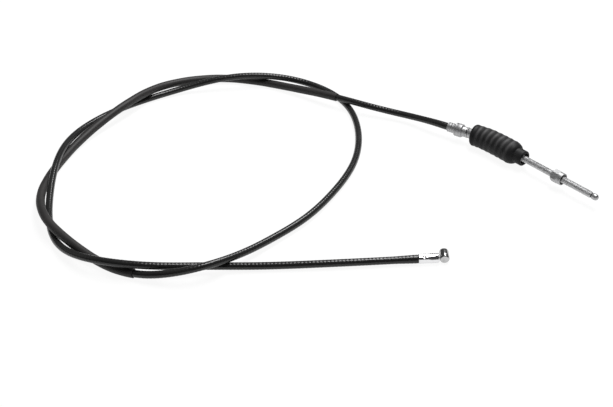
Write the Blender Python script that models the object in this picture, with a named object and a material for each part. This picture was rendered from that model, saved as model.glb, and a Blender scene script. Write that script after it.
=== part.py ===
# Rear brake cable of a small motorbike, laid down in two loose turns that twist round each other.
# At the wheel end a rubber boot covers the bare wire and an M6 rod with an adjuster nut comes out of
# it. At the lever end a bright ferrule holds the casing and a barrel nipple hooks into the lever.
# Sizes are in millimetres and are scaled to metres as each mesh is made.
import math

import bmesh
import bpy
import numpy as np
from mathutils import Vector

MM = 0.001
GAP = 0.3
CUT_PAST = 1.0
SHARP_ANGLE = 40.0

# Cable, from the inside out
WIRE_D = 2.0
RUNNING_GAP = 0.15
LINER_WALL = 0.25
LAYER_GAP = 0.25
SPIRAL_WALL = 0.5
JACKET_WALL = 0.6
SLEEVE_GAP = 0.35
SLEEVE_WALL = 0.45
WIRE_BORE_GAP = 0.35
BRAKE_TRAVEL = 25.0

# Where the two ends lie on the surface, and how they are turned. The boot bends on its way to the rod
BOOT_BACK = Vector((-16.2, 84.7))
WHEEL_ANGLE = -33.0
BOOT_BEND = 17.0
BOOT_BEND_LENGTH = 29.0
LEVER_START = Vector((-79.1, -97.8))
LEVER_ANGLE = 5.0

# The route between the straight ends, from the wheel end: two turns, each strand over and under
ROUTE = [
    (-72.5, 124, 7.5), (-105, 137.5, 9), (-134, 151, 10.5), (-190, 186, 5),
    (-250, 203, 4.5), (-300.5, 186.5, 7.5), (-339, 136, 13), (-370.5, 91, 6.5),
    (-387.5, 47.5, 4.5), (-395, -1, 6.5), (-380, -56.5, 11.5), (-359, -81.5, 9.5),
    (-340, -97, 5.5), (-293.5, -121, 6), (-249, -119, 12.5), (-218, -95, 8.5),
    (-194.5, -70, 5.5), (-171, -44, 5), (-146, -3.5, 4.5), (-126.5, 45, 4),
    (-121, 112.5, 4), (-141, 170, 4), (-166, 188.5, 6.5), (-239, 191.5, 12.5),
    (-293.5, 179, 5), (-346.5, 140.5, 5), (-376.5, 96.5, 8), (-388, 29, 12.5),
    (-387, -11, 7), (-382, -45, 3.5), (-362.5, -88, 6.5), (-331, -110.5, 12),
    (-289, -115.5, 10.5), (-251, -110.5, 6.5), (-208.5, -107, 4), (-148.5, -103.5, 4),
]
WHEEL_STRAIGHT = 8.0
LEVER_STRAIGHT = 30.0
CHORD_SAG = 0.85
LONGEST_CHORD = 80.0

# The guard sleeve, in millimetres along the casing from its wheel end
SLEEVE_FROM = 127.4
SLEEVE_TO = 678.9

# Crimp ferrule and stop collar, along the wheel end's axis
CRIMP_LENGTH = 7.0
CRIMP_WALL = 1.2
CRIMP_GROOVES = 3
CRIMP_GROOVE_DEPTH = 0.45
CRIMP_GROOVE_WIDTH = 0.8
CRIMP_EDGE = 0.2
CASING_SEAT = 10.0
CRIMP_FLOOR = 3.0
COLLAR_OD = 12.3
COLLAR_LENGTH = 7.8
COLLAR_RIM_WIDTH = 1.6
COLLAR_RIM_GROOVE = 0.8
COLLAR_EDGE = 0.6
NECK_OD = 9.4
SPIGOT_LENGTH = 13.5
CLIP_PLACE = 4.7
CLIP_WIRE_D = 1.0
CLIP_GROOVE_DEPTH = 0.85
CLIP_OPENING = 40.0
CLIP_SIDES = 8

# Rubber boot
BOOT_PLACE = 9.7
BOOT_LENGTH = 59.5
BOOT_BACK_OD = 20.2
BOOT_OD = 21.0
BOOT_WALL = 1.4
BOOT_BACK_ROUND = 3.0
BOOT_RING_STEP = 5.0
RIDGE_PLACE = 13.0
RIDGE_COUNT = 6
RIDGE_PITCH = 4.6
RIDGE_HEIGHT = 0.1
VALLEY_DEPTH = 0.5
RIDGE_RISE_FROM = 0.4
RIDGE_CREST_FROM = 0.55
RIDGE_CREST_TO = 0.85
BOOT_SHOULDER = 5.0
BOOT_NECK_OD = 14.1
BOOT_NECK_LENGTH = 8.3
BOOT_NECK_EDGE = 0.8
BOOT_MOUTH_D = 10.0
BOOT_MOUTH_DEPTH = 3.0
BOOT_SEAL_LENGTH = 4.0

# Threaded rod and its nut
ROD_D = 5.9
ROD_REACH = 82.3
ROD_STOP_ROOM = 5.0
ROD_WIRE_SEAT = 14.0
ROD_WIRE_LEAD = 1.0
SWAGE_LENGTH = 12.0
SWAGE_D = 5.2
SWAGE_MARKS = 2
SWAGE_MARK_DEPTH = 0.4
SWAGE_MARK_WIDTH = 2.4
POINT_LENGTH = 7.5
POINT_D = 5.4
POINT_LEAD = 0.5
POINT_EDGE = 1.0
NUT_PLACE = 33.3
NUT_ACROSS_FLATS = 10.0
NUT_HEX_LENGTH = 6.5
NUT_COLLAR_D = 10.8
NUT_COLLAR_LENGTH = 4.6
NUT_FACE_D = 9.6
NUT_CHAMFER = 0.9
NUT_COLLAR_ROOT = 1.0
NUT_COLLAR_UNDERCUT = 0.4
NUT_COLLAR_EDGE = 0.8
INSERT_LENGTH = 2.0
INSERT_WALL = 0.95
INSERT_SINK = 0.3

# Lever ferrule and nipple
FERRULE_OD = 8.1
FERRULE_LENGTH = 16.7
FERRULE_SEAT = 10.5
FERRULE_LIP = 0.2
FERRULE_EDGE = 0.7
DIMPLE_PLACE = 4.4
DIMPLE_BALL_D = 4.0
DIMPLE_DEPTH = 0.5
DIMPLE_TURN = 30.0
NIPPLE_GAP = 0.6
NIPPLE_D = 7.8
NIPPLE_LENGTH = 10.9
NIPPLE_NEAR_SIDE = 2.7
NIPPLE_TURN = -5.0
NIPPLE_EDGE = 0.4
NIPPLE_WIRE_DEPTH = 6.0
LEVER_WIRE_INSIDE = 20.0

# Radii and stations that follow from the sizes above
wire_radius = WIRE_D / 2
liner_radius = wire_radius + RUNNING_GAP + LINER_WALL
spiral_radius = liner_radius + LAYER_GAP + SPIRAL_WALL
jacket_radius = spiral_radius + LAYER_GAP + JACKET_WALL
sleeve_radius = jacket_radius + SLEEVE_GAP + SLEEVE_WALL
wire_bore = wire_radius + WIRE_BORE_GAP
casing_bore = jacket_radius + GAP

crimp_radius = casing_bore + CRIMP_WALL
crimp_end = CASING_SEAT + GAP + CRIMP_FLOOR
collar_start = CRIMP_LENGTH + GAP
collar_end = collar_start + COLLAR_LENGTH
spigot_end = collar_end + SPIGOT_LENGTH
clip_station = collar_end + CLIP_PLACE
boot_start = collar_end + BOOT_PLACE
boot_end = boot_start + BOOT_LENGTH
boot_crest_radius = BOOT_OD / 2 + RIDGE_HEIGHT
rod_radius = ROD_D / 2
rod_start = spigot_end + BRAKE_TRAVEL + ROD_STOP_ROOM
rod_end = boot_end + ROD_REACH
nut_start = boot_end + NUT_PLACE
nut_end = nut_start + NUT_HEX_LENGTH + NUT_COLLAR_LENGTH
nut_bore = rod_radius + GAP
wheel_height = boot_crest_radius
lever_height = max(FERRULE_OD, NIPPLE_D) / 2
nipple_centre = FERRULE_LENGTH + NIPPLE_GAP + NIPPLE_D / 2

wheel_axis = Vector((math.cos(math.radians(WHEEL_ANGLE)), math.sin(math.radians(WHEEL_ANGLE)), 0))
wheel_origin = Vector((BOOT_BACK.x, BOOT_BACK.y, wheel_height)) - wheel_axis * boot_start
lever_axis = Vector((math.cos(math.radians(LEVER_ANGLE)), math.sin(math.radians(LEVER_ANGLE)), 0))
lever_origin = Vector((LEVER_START.x, LEVER_START.y, lever_height))

boot_bend_end = boot_start + BOOT_BEND_LENGTH
boot_bend_radius = BOOT_BEND_LENGTH / math.radians(BOOT_BEND)


def clear_scene():
    for item in list(bpy.data.objects):
        bpy.data.objects.remove(item, do_unlink=True)


def material(name, colour, roughness, metallic):
    finish = bpy.data.materials.new(name)
    finish.use_nodes = True
    shader = finish.node_tree.nodes["Principled BSDF"]
    shader.inputs["Base Color"].default_value = (*colour, 1)
    shader.inputs["Roughness"].default_value = roughness
    shader.inputs["Metallic"].default_value = metallic
    return finish


def empty(name, location, turn=0.0, parent=None):
    item = bpy.data.objects.new(name, None)
    item.location = Vector(location) * MM
    item.rotation_euler.z = math.radians(turn)
    item.parent = parent
    bpy.context.collection.objects.link(item)
    return item


def mesh_object(name, bm, finish, parent=None):
    """Turn a bmesh in millimetres into a named object in metres."""
    bmesh.ops.scale(bm, vec=(MM, MM, MM), verts=bm.verts)
    bmesh.ops.remove_doubles(bm, verts=bm.verts, dist=1e-6)
    bmesh.ops.recalc_face_normals(bm, faces=bm.faces)
    mesh = bpy.data.meshes.new(name)
    bm.to_mesh(mesh)
    bm.free()
    mesh.shade_smooth()
    mesh.set_sharp_from_angle(angle=math.radians(SHARP_ANGLE))
    mesh.materials.append(finish)
    item = bpy.data.objects.new(name, mesh)
    item.parent = parent
    bpy.context.collection.objects.link(item)
    return item


def turned(name, outline, finish, parent=None, steps=24, closed=True, sweep=360.0):
    """Spin an outline of (along, radius) points round the X axis.

    A closed outline makes a piece with a bore. An open one starts and ends on the axis.
    """
    bm = bmesh.new()
    verts = [bm.verts.new((along, radius, 0)) for along, radius in outline]
    edges = [bm.edges.new(pair) for pair in zip(verts, verts[1:])]
    if closed:
        edges.append(bm.edges.new((verts[-1], verts[0])))
    full = sweep >= 360.0
    bmesh.ops.spin(bm, geom=verts + edges, cent=(0, 0, 0), axis=(1, 0, 0),
                   angle=math.radians(sweep), steps=steps, use_merge=full)
    if not full:
        bmesh.ops.holes_fill(bm, edges=[edge for edge in bm.edges if edge.is_boundary])
    return mesh_object(name, bm, finish, parent)


def rod_solid(name, start, end, radius, finish, parent=None, steps=16):
    outline = [(start, 0), (start, radius), (end, radius), (end, 0)]
    return turned(name, outline, finish, parent, steps=steps, closed=False)


def arc(centre_along, centre_radius, size, start, end, count):
    """Points of an arc in the outline's plane, its angles counted from along towards radius."""
    points = []
    for step in range(count + 1):
        angle = math.radians(start + (end - start) * step / count)
        points.append((centre_along + size * math.cos(angle), centre_radius + size * math.sin(angle)))
    return points


def cutter(item):
    item.hide_render = True
    item.display_type = 'WIRE'
    return item


def combine(item, other, operation):
    boolean = item.modifiers.new(operation.title(), 'BOOLEAN')
    boolean.operation = operation
    boolean.solver = 'EXACT'
    boolean.object = cutter(other)


def tube(name, points, radius, finish, wall=None):
    """A tube along a path: solid with filled ends, or hollow where it has a wall."""
    curve = bpy.data.curves.new(name, 'CURVE')
    curve.dimensions = '3D'
    curve.bevel_depth = radius * MM
    curve.bevel_resolution = 2
    curve.use_fill_caps = wall is None
    spline = curve.splines.new('POLY')
    spline.points.add(len(points) - 1)
    for spot, point in zip(spline.points, points):
        spot.co = (*(Vector(point) * MM), 1)
    curve.materials.append(finish)
    item = bpy.data.objects.new(name, curve)
    bpy.context.collection.objects.link(item)
    if wall is not None:
        solidify = item.modifiers.new("Wall", 'SOLIDIFY')
        solidify.thickness = wall * MM
        solidify.offset = -1
        solidify.use_even_offset = True
    return item


def smooth_curve(points, start_direction, end_direction, per_span=24):
    """The curve of least bending through the points, with its two end directions held."""
    points = np.array(points, float)
    spans = np.linalg.norm(np.diff(points, axis=0), axis=1)
    count = len(points)
    system = np.zeros((count, count))
    wanted = np.zeros((count, 3))
    system[0, 0] = 1
    system[-1, -1] = 1
    wanted[0] = start_direction
    wanted[-1] = end_direction
    for i in range(1, count - 1):
        before, after = spans[i - 1], spans[i]
        system[i, i - 1] = 1 / before
        system[i, i] = 2 / before + 2 / after
        system[i, i + 1] = 1 / after
        wanted[i] = 3 * ((points[i] - points[i - 1]) / before**2 + (points[i + 1] - points[i]) / after**2)
    slopes = np.linalg.solve(system, wanted)
    curve = []
    for i in range(count - 1):
        for t in np.arange(per_span) / per_span:
            curve.append((2 * t**3 - 3 * t**2 + 1) * points[i]
                         + (t**3 - 2 * t**2 + t) * spans[i] * slopes[i]
                         + (3 * t**2 - 2 * t**3) * points[i + 1]
                         + (t**3 - t**2) * spans[i] * slopes[i + 1])
    curve.append(points[-1])
    return np.array(curve)


def distances(path):
    return np.concatenate([[0], np.cumsum(np.linalg.norm(np.diff(path, axis=0), axis=1))])


def chords(path):
    """The same path in straight steps, short where it bends and long where it runs straight."""
    along = distances(path)
    spans = np.diff(along)
    headings = np.diff(path, axis=0) / spans[:, None]
    bend = 2 * np.linalg.norm(np.diff(headings, axis=0), axis=1) / (spans[1:] + spans[:-1])
    bend = np.concatenate([bend[:1], bend, bend[-1:]])
    density = np.sqrt(bend / (8 * CHORD_SAG)) + 1 / LONGEST_CHORD
    steps = np.concatenate([[0], np.cumsum(spans * (density[1:] + density[:-1]) / 2)])
    wanted = np.linspace(0, steps[-1], math.ceil(steps[-1]) + 1)
    places = np.interp(wanted, steps, along)
    return np.column_stack([np.interp(places, along, path[:, axis]) for axis in range(3)])


def stretch(path, start, end):
    """The part of a path between two distances along it, on the same straight steps."""
    along = distances(path)
    inside = [place for place in along if start + GAP < place < end - GAP]
    wanted = np.array([start] + inside + [end])
    return np.column_stack([np.interp(wanted, along, path[:, axis]) for axis in range(3)])


def casing_path():
    """The casing's centreline, from its seat in the crimp ferrule to its seat in the lever ferrule."""
    wheel_seat = wheel_origin + wheel_axis * CASING_SEAT
    wheel_bend = wheel_origin - wheel_axis * WHEEL_STRAIGHT
    lever_bend = lever_origin - lever_axis * LEVER_STRAIGHT
    lever_seat = lever_origin + lever_axis * FERRULE_SEAT
    free = smooth_curve([wheel_bend, *ROUTE, lever_bend], -wheel_axis, lever_axis)
    return np.vstack([wheel_seat, chords(free), lever_seat])


def crimp_outline():
    pitch = CRIMP_LENGTH / CRIMP_GROOVES
    outer = [(0, crimp_radius - CRIMP_EDGE), (CRIMP_EDGE, crimp_radius)]
    for ring in range(CRIMP_GROOVES):
        middle = pitch * (ring + 0.5)
        half = CRIMP_GROOVE_WIDTH / 2
        deep = crimp_radius - CRIMP_GROOVE_DEPTH
        outer += [(middle - half, crimp_radius), (middle - half / 2, deep),
                  (middle + half / 2, deep), (middle + half, crimp_radius)]
    outer += [(crimp_end, crimp_radius)]
    seat = CASING_SEAT + GAP
    inner = [(crimp_end, wire_bore), (seat, wire_bore), (seat, casing_bore), (0, casing_bore)]
    return outer + inner


def collar_outline():
    radius = COLLAR_OD / 2
    neck = NECK_OD / 2
    rim_end = collar_start + COLLAR_RIM_WIDTH
    groove_end = rim_end + COLLAR_RIM_GROOVE
    clip_half = CLIP_WIRE_D / 2 + GAP
    clip_floor = neck - CLIP_GROOVE_DEPTH
    outer = [(collar_start, radius - COLLAR_EDGE), (collar_start + COLLAR_EDGE, radius),
             (rim_end, radius), (rim_end, radius - COLLAR_EDGE),
             (groove_end, radius - COLLAR_EDGE), (groove_end, radius),
             (collar_end - COLLAR_EDGE, radius), (collar_end, radius - COLLAR_EDGE),
             (collar_end, neck),
             (clip_station - clip_half, neck), (clip_station - clip_half, clip_floor),
             (clip_station + clip_half, clip_floor), (clip_station + clip_half, neck),
             (spigot_end - COLLAR_EDGE, neck), (spigot_end, neck - COLLAR_EDGE)]
    seat = crimp_end + GAP
    bore = crimp_radius + GAP
    inner = [(spigot_end, wire_bore), (seat, wire_bore), (seat, bore), (collar_start, bore)]
    return outer + inner


def boot_outline():
    outer_radius = BOOT_OD / 2
    back_radius = BOOT_BACK_OD / 2
    neck = BOOT_NECK_OD / 2
    back = BOOT_BACK_ROUND
    seat = NECK_OD / 2 + GAP
    neck_start = boot_end - BOOT_NECK_LENGTH
    shoulder_start = neck_start - BOOT_SHOULDER
    valley = outer_radius - VALLEY_DEPTH
    outer = [(boot_start, seat)]
    outer += arc(boot_start + back, back_radius - back, back, 180, 90, 4)
    outer += [(boot_start + (back + RIDGE_PLACE) / 2, (back_radius + valley) / 2)]
    for ridge in range(RIDGE_COUNT):
        first = boot_start + RIDGE_PLACE + ridge * RIDGE_PITCH
        outer += [(first, valley), (first + RIDGE_RISE_FROM * RIDGE_PITCH, valley),
                  (first + RIDGE_CREST_FROM * RIDGE_PITCH, boot_crest_radius),
                  (first + RIDGE_CREST_TO * RIDGE_PITCH, boot_crest_radius)]
    drop = outer_radius - neck
    for step in range(5):
        turn = math.radians(90 * step / 4)
        outer.append((shoulder_start + BOOT_SHOULDER * math.sin(turn), neck + drop * math.cos(turn)))
    outer += [(boot_end - BOOT_NECK_EDGE, neck), (boot_end, neck - BOOT_NECK_EDGE)]
    mouth = boot_end - BOOT_MOUTH_DEPTH
    seal = rod_radius + GAP
    inside = back_radius - BOOT_WALL
    inside_start = boot_start + BOOT_WALL + back
    rings = math.ceil((boot_bend_end - inside_start) / BOOT_RING_STEP)
    ring_step = (boot_bend_end - inside_start) / rings
    inner = [(boot_end, BOOT_MOUTH_D / 2), (mouth, BOOT_MOUTH_D / 2), (mouth, seal),
             (mouth - BOOT_SEAL_LENGTH, seal), (mouth - BOOT_SEAL_LENGTH, neck - BOOT_WALL),
             (shoulder_start, inside)]
    inner += [(boot_bend_end - ring * ring_step, inside) for ring in range(rings + 1)]
    inner += [(boot_start + BOOT_WALL, inside - back), (boot_start + BOOT_WALL, seat)]
    return outer + inner


def bent(along, side):
    """Where a point beside the straight axis lies once the boot's back half has its bend."""
    inside = min(max(along - boot_start, 0), BOOT_BEND_LENGTH)
    turn = inside / boot_bend_radius
    before = min(along - boot_start, 0)
    after = max(along - boot_bend_end, 0)
    swing = boot_bend_radius + side
    return (boot_start + before + swing * math.sin(turn) + after * math.cos(turn),
            swing * math.cos(turn) - boot_bend_radius - after * math.sin(turn))


def rod_outline():
    swage_end = rod_start + SWAGE_LENGTH
    swage = SWAGE_D / 2
    bore_end = rod_start + ROD_WIRE_SEAT
    bore = wire_radius + GAP
    point_start = rod_end - POINT_LENGTH
    outline = [(bore_end, 0), (bore_end, bore), (rod_start, bore), (rod_start, swage)]
    half = SWAGE_MARK_WIDTH / 2
    for mark in range(SWAGE_MARKS):
        middle = rod_start + SWAGE_LENGTH * (mark + 1) / (SWAGE_MARKS + 1)
        outline += [(middle - half, swage), (middle - half / 2, swage - SWAGE_MARK_DEPTH),
                    (middle + half / 2, swage - SWAGE_MARK_DEPTH), (middle + half, swage)]
    outline += [(swage_end, swage), (swage_end + (rod_radius - swage), rod_radius),
                (point_start - POINT_LEAD, rod_radius), (point_start, POINT_D / 2),
                (rod_end - POINT_EDGE, POINT_D / 2), (rod_end, POINT_D / 2 - POINT_EDGE), (rod_end, 0)]
    return outline


def build_casing():
    path = casing_path()
    length = distances(path)[-1]
    tube("casing_jacket", path, jacket_radius, jacket_plastic, JACKET_WALL)
    tube("casing_spiral", path, spiral_radius, spiral_steel, SPIRAL_WALL)
    tube("casing_liner", path, liner_radius, liner_plastic, LINER_WALL)
    tube("guard_sleeve", stretch(path, SLEEVE_FROM, SLEEVE_TO), sleeve_radius, sleeve_plastic, SLEEVE_WALL)
    wire_to = length - FERRULE_SEAT - LEVER_WIRE_INSIDE - GAP
    wire_path = np.vstack([wheel_origin + wheel_axis * spigot_end, stretch(path, 0, wire_to)])
    tube("inner_wire", wire_path, wire_radius, wire_steel)


def build_wheel_end(frame):
    turned("crimp_ferrule", crimp_outline(), zinc, frame)
    turned("stop_collar", collar_outline(), zinc, frame)
    clip_radius = NECK_OD / 2 - CLIP_GROOVE_DEPTH + GAP + CLIP_WIRE_D / 2
    section = arc(clip_station, clip_radius, CLIP_WIRE_D / 2, 0, 360 - 360 / CLIP_SIDES, CLIP_SIDES - 1)
    turned("clip_ring", section, bright_steel, frame, steps=20, sweep=360 - CLIP_OPENING)
    boot = turned("boot", boot_outline(), rubber, frame, steps=28)
    for vertex in boot.data.vertices:
        place = vertex.co / MM
        vertex.co = Vector((*bent(place.x, place.y), place.z)) * MM


def build_rod(slider):
    turned("threaded_rod", rod_outline(), zinc, slider)
    rod_solid("rod_wire_end", rod_start - ROD_WIRE_LEAD, rod_start + ROD_WIRE_SEAT - GAP, wire_radius,
              wire_steel, slider, steps=10)


def build_nut(slider):
    """A hexagon with one chamfered face, joined to the round collar that holds the insert."""
    hex_end = nut_start + NUT_HEX_LENGTH
    corner = NUT_ACROSS_FLATS / 2 / math.cos(math.radians(30))
    nut = turned("adjuster_nut", [(nut_start, 0), (nut_start, corner), (hex_end, corner), (hex_end, 0)],
                 zinc, slider, steps=6, closed=False)
    face = NUT_FACE_D / 2
    slope = (corner - face) / NUT_CHAMFER
    outside = corner + CUT_PAST * slope
    cone = [(nut_start - CUT_PAST, 0), (nut_start - CUT_PAST, face - CUT_PAST * slope),
            (nut_start + NUT_CHAMFER + CUT_PAST, outside), (hex_end + CUT_PAST, outside), (hex_end + CUT_PAST, 0)]
    chamfer = turned("nut_chamfer", cone, zinc, slider, closed=False)
    combine(nut, chamfer, 'INTERSECT')
    round_end = NUT_COLLAR_D / 2
    root = hex_end - NUT_COLLAR_ROOT
    collar = turned("nut_collar", [(root, 0), (root, round_end - NUT_COLLAR_UNDERCUT),
                                   (hex_end, round_end), (nut_end - NUT_COLLAR_EDGE, round_end),
                                   (nut_end, round_end - NUT_COLLAR_EDGE), (nut_end, 0)],
                    zinc, slider, closed=False)
    combine(nut, collar, 'UNION')
    bore = rod_solid("nut_bore", nut_start - CUT_PAST, nut_end + CUT_PAST, nut_bore, zinc, slider, steps=24)
    combine(nut, bore, 'DIFFERENCE')
    insert_from = nut_end - INSERT_SINK - INSERT_LENGTH
    recess_radius = nut_bore + INSERT_WALL + GAP
    recess = rod_solid("nut_recess", insert_from - GAP, nut_end + CUT_PAST, recess_radius, zinc, slider,
                       steps=24)
    combine(nut, recess, 'DIFFERENCE')
    insert = [(insert_from, nut_bore + INSERT_WALL), (nut_end - INSERT_SINK, nut_bore + INSERT_WALL),
              (nut_end - INSERT_SINK, nut_bore), (insert_from, nut_bore)]
    turned("nut_insert", insert, nylon, slider)


def build_lever_end(frame):
    radius = FERRULE_OD / 2
    seat = FERRULE_SEAT + GAP
    outline = [(0, radius - FERRULE_LIP), (FERRULE_LIP, radius), (FERRULE_LENGTH - FERRULE_EDGE, radius),
               (FERRULE_LENGTH, radius - FERRULE_EDGE), (FERRULE_LENGTH, wire_bore), (seat, wire_bore),
               (seat, casing_bore), (0, casing_bore)]
    ferrule = turned("lever_ferrule", outline, chrome, frame)
    bm = bmesh.new()
    bmesh.ops.create_uvsphere(bm, u_segments=16, v_segments=10, radius=DIMPLE_BALL_D / 2)
    ball = mesh_object("dimple_ball", bm, chrome, frame)
    reach = radius + DIMPLE_BALL_D / 2 - DIMPLE_DEPTH
    turn = math.radians(DIMPLE_TURN)
    ball.location = Vector((DIMPLE_PLACE, -reach * math.sin(turn), reach * math.cos(turn))) * MM
    combine(ferrule, ball, 'DIFFERENCE')


def build_nipple(slider):
    radius = NIPPLE_D / 2
    near, far = -NIPPLE_NEAR_SIDE, NIPPLE_LENGTH - NIPPLE_NEAR_SIDE
    outline = [(near, 0), (near, radius - NIPPLE_EDGE), (near + NIPPLE_EDGE, radius),
               (far - NIPPLE_EDGE, radius), (far, radius - NIPPLE_EDGE), (far, 0)]
    nipple = turned("lever_nipple", outline, zinc, slider, closed=False)
    nipple.rotation_euler.z = math.radians(90 + NIPPLE_TURN)
    nipple.location.x = nipple_centre * MM
    bore_end = nipple_centre - radius + NIPPLE_WIRE_DEPTH
    bore = rod_solid("nipple_bore", nipple_centre - radius - CUT_PAST, bore_end, wire_bore, zinc, slider)
    combine(nipple, bore, 'DIFFERENCE')
    rod_solid("lever_wire_end", -LEVER_WIRE_INSIDE, bore_end - GAP, wire_radius, wire_steel, slider, steps=10)


clear_scene()
jacket_plastic = material("jacket_plastic", (0.012, 0.012, 0.013), 0.32, 0.0)
sleeve_plastic = material("sleeve_plastic", (0.035, 0.033, 0.031), 0.6, 0.0)
liner_plastic = material("liner_plastic", (0.75, 0.75, 0.72), 0.4, 0.0)
spiral_steel = material("spiral_steel", (0.5, 0.5, 0.5), 0.35, 1.0)
wire_steel = material("wire_steel", (0.55, 0.54, 0.52), 0.35, 1.0)
zinc = material("zinc", (0.42, 0.42, 0.43), 0.45, 1.0)
bright_steel = material("bright_steel", (0.7, 0.7, 0.7), 0.2, 1.0)
chrome = material("chrome", (0.85, 0.85, 0.86), 0.1, 1.0)
rubber = material("rubber", (0.02, 0.02, 0.021), 0.55, 0.0)
nylon = material("nylon", (0.03, 0.03, 0.035), 0.5, 0.0)

wheel_frame = empty("wheel_end", wheel_origin, WHEEL_ANGLE)
rod_zero = bent(boot_bend_end, 0)
rod_back = math.radians(180 - BOOT_BEND)
rod_slider = empty("rod_slider", (rod_zero[0] + boot_bend_end * math.cos(rod_back),
                                  rod_zero[1] + boot_bend_end * math.sin(rod_back), 0),
                   -BOOT_BEND, wheel_frame)
nut_axis = empty("nut_axis", (0, 0, 0), parent=rod_slider)
lever_frame = empty("lever_end", lever_origin, LEVER_ANGLE)
nipple_slider = empty("nipple_slider", (0, 0, 0), parent=lever_frame)

build_casing()
build_wheel_end(wheel_frame)
build_rod(rod_slider)
build_nut(nut_axis)
build_lever_end(lever_frame)
build_nipple(nipple_slider)
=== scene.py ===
# %% [markdown]
# # A motorbike's rear brake cable, dressed over its CAD frame
# The real object is a casing almost two metres long with a fitting at each end, laid on a white table in
# two loose turns. The CAD frame already holds its true sizes and its moving pieces, so this lesson only
# builds what the eye sees: finer surfaces that follow the same sizes, and the finish of each one.
# Everything is in metres. The frame is loaded first, because most visible pieces ride on one of its bodies.

import math

import bmesh
import bpy
import numpy as np
from mathutils import Matrix, Quaternion, Vector


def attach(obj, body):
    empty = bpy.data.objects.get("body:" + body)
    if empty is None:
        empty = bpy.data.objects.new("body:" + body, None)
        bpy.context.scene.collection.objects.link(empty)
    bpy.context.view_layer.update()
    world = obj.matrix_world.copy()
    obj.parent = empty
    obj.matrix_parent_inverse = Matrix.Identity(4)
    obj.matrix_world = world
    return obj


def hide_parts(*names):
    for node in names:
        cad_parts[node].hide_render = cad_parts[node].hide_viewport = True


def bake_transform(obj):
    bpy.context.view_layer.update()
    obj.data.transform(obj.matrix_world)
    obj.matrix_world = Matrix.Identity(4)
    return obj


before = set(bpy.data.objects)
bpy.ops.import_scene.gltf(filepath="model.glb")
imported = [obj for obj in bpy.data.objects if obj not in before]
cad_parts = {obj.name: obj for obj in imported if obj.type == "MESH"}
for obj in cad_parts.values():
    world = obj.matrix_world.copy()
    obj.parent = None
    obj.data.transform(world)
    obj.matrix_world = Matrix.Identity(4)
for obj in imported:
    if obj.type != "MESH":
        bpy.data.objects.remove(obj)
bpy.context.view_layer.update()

# %% [markdown]
# ## The camera
# The photograph was taken from above at 34 degrees to the table, with a medium long lens. The
# camera aims at one point of the table, and its place follows from that point, the tilt and the
# distance. Building it from those three numbers keeps the picture's centre fixed while one of
# them is tuned, which placing the camera by hand would not.

# %% Camera
AIM = Vector((-0.1682, -0.0127, 0.0))
TILT = math.radians(34.0)
DISTANCE = 1.080
FOCAL_MM = 74.2

camera_data = bpy.data.cameras.new("camera")
camera_data.lens = FOCAL_MM
camera_data.sensor_width = 36.0
camera = bpy.data.objects.new("camera", camera_data)
camera.location = AIM + Vector((0.0, -math.cos(TILT), math.sin(TILT))) * DISTANCE
camera.rotation_euler = (AIM - camera.location).to_track_quat('-Z', 'Y').to_euler()
bpy.context.collection.objects.link(camera)
bpy.context.scene.camera = camera
bpy.context.scene.view_settings.view_transform = 'Standard'
print("camera at", [round(value, 4) for value in camera.location])

# %% [markdown]
# ## The route of the casing
# A free cable is a stiff spring: between the places that hold it, it takes the shape that bends
# least. So the route is a short list of points and one smooth curve through them, not a drawing
# with many handles. Each turn passes over and under the other, and the third number of each
# point is the height of the cable's middle above the table. The points repeat those of the
# CAD source, which this script can't read.

# %% Route points and the two straight ends
WHEEL_ORIGIN = Vector((-0.0370, 0.0982, 0.0106))
WHEEL_ANGLE = math.radians(-33.0)
LEVER_ORIGIN = Vector((-0.0791, -0.0978, 0.00405))
LEVER_ANGLE = math.radians(5.0)
WHEEL_STRAIGHT = 0.008
LEVER_STRAIGHT = 0.030
WHEEL_SEAT = 0.010
LEVER_SEAT = 0.0105

ROUTE = [
    (-0.0725, 0.1240, 0.0075), (-0.1050, 0.1375, 0.0090), (-0.1340, 0.1510, 0.0105),
    (-0.1900, 0.1860, 0.0050), (-0.2500, 0.2030, 0.0045), (-0.3005, 0.1865, 0.0075),
    (-0.3390, 0.1360, 0.0130), (-0.3705, 0.0910, 0.0065), (-0.3875, 0.0475, 0.0045),
    (-0.3950, -0.0010, 0.0065), (-0.3800, -0.0565, 0.0115), (-0.3590, -0.0815, 0.0095),
    (-0.3400, -0.0970, 0.0055), (-0.2935, -0.1210, 0.0060), (-0.2490, -0.1190, 0.0125),
    (-0.2180, -0.0950, 0.0085), (-0.1945, -0.0700, 0.0055), (-0.1710, -0.0440, 0.0050),
    (-0.1460, -0.0035, 0.0045), (-0.1265, 0.0450, 0.0040), (-0.1210, 0.1125, 0.0040),
    (-0.1410, 0.1700, 0.0040), (-0.1660, 0.1885, 0.0065), (-0.2390, 0.1915, 0.0125),
    (-0.2935, 0.1790, 0.0050), (-0.3465, 0.1405, 0.0050), (-0.3765, 0.0965, 0.0080),
    (-0.3880, 0.0290, 0.0125), (-0.3870, -0.0110, 0.0070), (-0.3820, -0.0450, 0.0035),
    (-0.3625, -0.0880, 0.0065), (-0.3310, -0.1105, 0.0120), (-0.2890, -0.1155, 0.0105),
    (-0.2510, -0.1105, 0.0065), (-0.2085, -0.1070, 0.0040), (-0.1485, -0.1035, 0.0040),
]
wheel_axis = Vector((math.cos(WHEEL_ANGLE), math.sin(WHEEL_ANGLE), 0.0))
lever_axis = Vector((math.cos(LEVER_ANGLE), math.sin(LEVER_ANGLE), 0.0))
print("route points:", len(ROUTE))

# %% [markdown]
# A cubic through every point, with its slopes chosen so that the bending never jumps, is the
# curve that a springy casing settles into. Its slopes come from one small set of equations.
# Blender's Bezier handles could give the same curve, but then the spacing along it would be
# uneven, and the ribs of the jacket need equal steps.

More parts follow.
